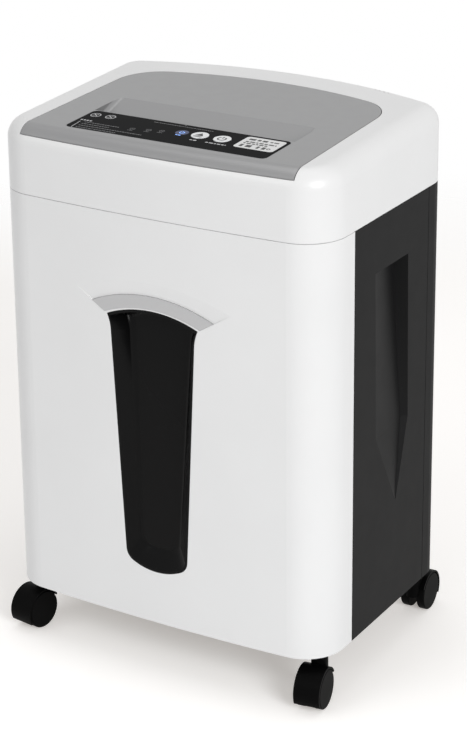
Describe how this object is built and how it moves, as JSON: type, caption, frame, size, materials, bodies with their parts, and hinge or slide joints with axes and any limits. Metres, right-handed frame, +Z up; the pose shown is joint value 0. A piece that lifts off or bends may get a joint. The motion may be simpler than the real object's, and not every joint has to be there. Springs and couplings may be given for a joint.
{
  "type": "paper shredder",
  "caption": "Free-standing cross-cut paper shredder with a top throat, push buttons, a pull-out bin with a dished dark window, lifting recesses and swivel casters.",
  "frame": {"origin": "centre of the width and depth, on the floor below the casters", "axes": "+X to the user's right, +Y to the rear, +Z up; the bin slides out along -Y"},
  "size_m": [0.392, 0.3034, 0.5925],
  "materials": {
    "white_shell": "satin moulded plastic",
    "console_silver": "silver painted plastic, fine sheen",
    "trim_silver": "silver painted plastic",
    "charcoal_panel": "dark grey moulded plastic",
    "black_plastic": "black moulded plastic",
    "label_black": "glossy black printed film",
    "window_smoke": "deeply tinted glossy plastic",
    "button_white": "glossy plastic",
    "board_green": "coated circuit board",
    "frame_steel": "zinc plated sheet",
    "cutter_steel": "hardened and oiled steel",
    "screw_steel": "blackened screws",
    "bush_bronze": "sintered bronze",
    "gear_steel": "sintered steel",
    "gear_nylon": "natural nylon",
    "caster_black": "black moulded plastic",
    "wheel_black": "black tread",
    "motor_steel": "grey painted can"
  },
  "bodies": {
    "cabinet": {"base_plate": "black_plastic", "left_side_panel": "charcoal_panel", "right_side_panel": "charcoal_panel", "rear_panel": "charcoal_panel", "head_base": "black_plastic", "head_cover": "white_shell", "console": "console_silver", "control_label": "label_black", "throat_guide": "black_plastic", "control_board": "board_green", "main_switch_frame": "black_plastic", "cord_gland": "black_plastic", "left_frame_plate": "frame_steel", "right_frame_plate": "frame_steel", "tie_rods": "frame_steel", "front_comb": "black_plastic", "rear_comb": "black_plastic", "cutter_bushes": "bush_bronze", "gear_pins": "frame_steel", "gear_bracket": "frame_steel", "motor_body": "motor_steel", "cover_screws": "screw_steel"},
    "switch_rocker": {"main_switch_rocker": "black_plastic"},
    "power_key": {"power_button": "button_white"},
    "reverse_key": {"reverse_button": "button_white"},
    "front_cutter_shaft": {"front_cutter": "cutter_steel", "front_sync_gear": "gear_steel"},
    "rear_cutter_shaft": {"rear_cutter": "cutter_steel", "rear_sync_gear": "gear_steel", "output_gear": "gear_steel"},
    "second_gear_hub": {"second_gear": "gear_steel"},
    "first_gear_hub": {"first_gear": "gear_nylon"},
    "motor_shaft": {"motor_rotor": "gear_steel", "motor_fan": "black_plastic"},
    "bin": {"bin_front": "white_shell", "bin_window": "window_smoke", "handle_trim": "trim_silver", "bin_bucket": "black_plastic", "bin_screws": "screw_steel"},
    "front_left_caster": {"front_left_caster_hood": "caster_black", "front_left_caster_stem": "frame_steel", "front_left_caster_axle": "frame_steel"},
    "front_left_wheel_a": {"front_left_caster_wheel_a": "wheel_black"},
    "front_left_wheel_b": {"front_left_caster_wheel_b": "wheel_black"},
    "front_right_caster": {"front_right_caster_hood": "caster_black", "front_right_caster_stem": "frame_steel", "front_right_caster_axle": "frame_steel"},
    "front_right_wheel_a": {"front_right_caster_wheel_a": "wheel_black"},
    "front_right_wheel_b": {"front_right_caster_wheel_b": "wheel_black"},
    "rear_left_caster": {"rear_left_caster_hood": "caster_black", "rear_left_caster_stem": "frame_steel", "rear_left_caster_axle": "frame_steel"},
    "rear_left_wheel_a": {"rear_left_caster_wheel_a": "wheel_black"},
    "rear_left_wheel_b": {"rear_left_caster_wheel_b": "wheel_black"},
    "rear_right_caster": {"rear_right_caster_hood": "caster_black", "rear_right_caster_stem": "frame_steel", "rear_right_caster_axle": "frame_steel"},
    "rear_right_wheel_a": {"rear_right_caster_wheel_a": "wheel_black"},
    "rear_right_wheel_b": {"rear_right_caster_wheel_b": "wheel_black"}
  },
  "joints": [
    {"name": "bin_slide", "type": "slide", "parent": "cabinet", "child": "bin", "axis": [0, -1, 0], "range_m": [0, 0.24]},
    {"name": "power_press", "type": "slide", "parent": "cabinet", "child": "power_key", "axis": [0, 0.041, -0.9992], "range_m": [0, 0.0012], "stiffness_N_per_m": 300, "springref_m": -0.001},
    {"name": "reverse_press", "type": "slide", "parent": "cabinet", "child": "reverse_key", "axis": [0, 0.041, -0.9992], "range_m": [0, 0.0012], "stiffness_N_per_m": 300, "springref_m": -0.001},
    {"name": "main_switch_rock", "type": "hinge", "parent": "cabinet", "child": "switch_rocker", "pos_m": [-0.06961, 0.14245, 0.544], "axis": [0.9915, 0.1302, 0], "range_deg": [0, 18]},
    {"name": "rear_cutter_turn", "type": "hinge", "parent": "cabinet", "child": "rear_cutter_shaft", "pos_m": [0, -0.044, 0.496], "axis": [1, 0, 0], "continuous": true},
    {"name": "front_cutter_turn", "type": "hinge", "parent": "cabinet", "child": "front_cutter_shaft", "pos_m": [0, -0.082, 0.496], "axis": [1, 0, 0], "continuous": true},
    {"name": "second_gear_turn", "type": "hinge", "parent": "cabinet", "child": "second_gear_hub", "pos_m": [0.14, -0.01183, 0.523], "axis": [1, 0, 0], "continuous": true},
    {"name": "first_gear_turn", "type": "hinge", "parent": "cabinet", "child": "first_gear_hub", "pos_m": [0.14, 0.02642, 0.50755], "axis": [1, 0, 0], "continuous": true},
    {"name": "motor_turn", "type": "hinge", "parent": "cabinet", "child": "motor_shaft", "pos_m": [0.1, 0.06504, 0.50212], "axis": [1, 0, 0], "continuous": true},
    {"name": "front_left_caster_swivel", "type": "hinge", "parent": "cabinet", "child": "front_left_caster", "pos_m": [-0.1745, -0.112, 0.07], "axis": [0, 0, 1], "continuous": true},
    {"name": "front_left_wheel_a_spin", "type": "hinge", "parent": "front_left_caster", "child": "front_left_wheel_a", "pos_m": [-0.17673, -0.12784, 0.021], "axis": [-0.9903, 0.1392, 0], "continuous": true},
    {"name": "front_left_wheel_b_spin", "type": "hinge", "parent": "front_left_caster", "child": "front_left_wheel_b", "pos_m": [-0.17673, -0.12784, 0.021], "axis": [-0.9903, 0.1392, 0], "continuous": true},
    {"name": "front_right_caster_swivel", "type": "hinge", "parent": "cabinet", "child": "front_right_caster", "pos_m": [0.1745, -0.112, 0.07], "axis": [0, 0, 1], "continuous": true},
    {"name": "front_right_wheel_a_spin", "type": "hinge", "parent": "front_right_caster", "child": "front_right_wheel_a", "pos_m": [0.17673, -0.12784, 0.021], "axis": [-0.9903, -0.1392, 0], "continuous": true},
    {"name": "front_right_wheel_b_spin", "type": "hinge", "parent": "front_right_caster", "child": "front_right_wheel_b", "pos_m": [0.17673, -0.12784, 0.021], "axis": [-0.9903, -0.1392, 0], "continuous": true},
    {"name": "rear_left_caster_swivel", "type": "hinge", "parent": "cabinet", "child": "rear_left_caster", "pos_m": [-0.1745, 0.105, 0.07], "axis": [0, 0, 1], "continuous": true},
    {"name": "rear_left_wheel_a_spin", "type": "hinge", "parent": "rear_left_caster", "child": "rear_left_wheel_a", "pos_m": [-0.17311, 0.12094, 0.021], "axis": [0.9962, -0.0872, 0], "continuous": true},
    {"name": "rear_left_wheel_b_spin", "type": "hinge", "parent": "rear_left_caster", "child": "rear_left_wheel_b", "pos_m": [-0.17311, 0.12094, 0.021], "axis": [0.9962, -0.0872, 0], "continuous": true},
    {"name": "rear_right_caster_swivel", "type": "hinge", "parent": "cabinet", "child": "rear_right_caster", "pos_m": [0.1745, 0.105, 0.07], "axis": [0, 0, 1], "continuous": true},
    {"name": "rear_right_wheel_a_spin", "type": "hinge", "parent": "rear_right_caster", "child": "rear_right_wheel_a", "pos_m": [0.17366, 0.12098, 0.021], "axis": [0.9986, 0.0523, 0], "continuous": true},
    {"name": "rear_right_wheel_b_spin", "type": "hinge", "parent": "rear_right_caster", "child": "rear_right_wheel_b", "pos_m": [0.17366, 0.12098, 0.021], "axis": [0.9986, 0.0523, 0], "continuous": true}
  ],
  "couplings": [
    {"joint": "front_cutter_turn", "follows": "rear_cutter_turn", "ratio": -1},
    {"joint": "second_gear_turn", "follows": "rear_cutter_turn", "ratio": -3},
    {"joint": "first_gear_turn", "follows": "rear_cutter_turn", "ratio": 13.5},
    {"joint": "motor_turn", "follows": "rear_cutter_turn", "ratio": -74.25}
  ]
}
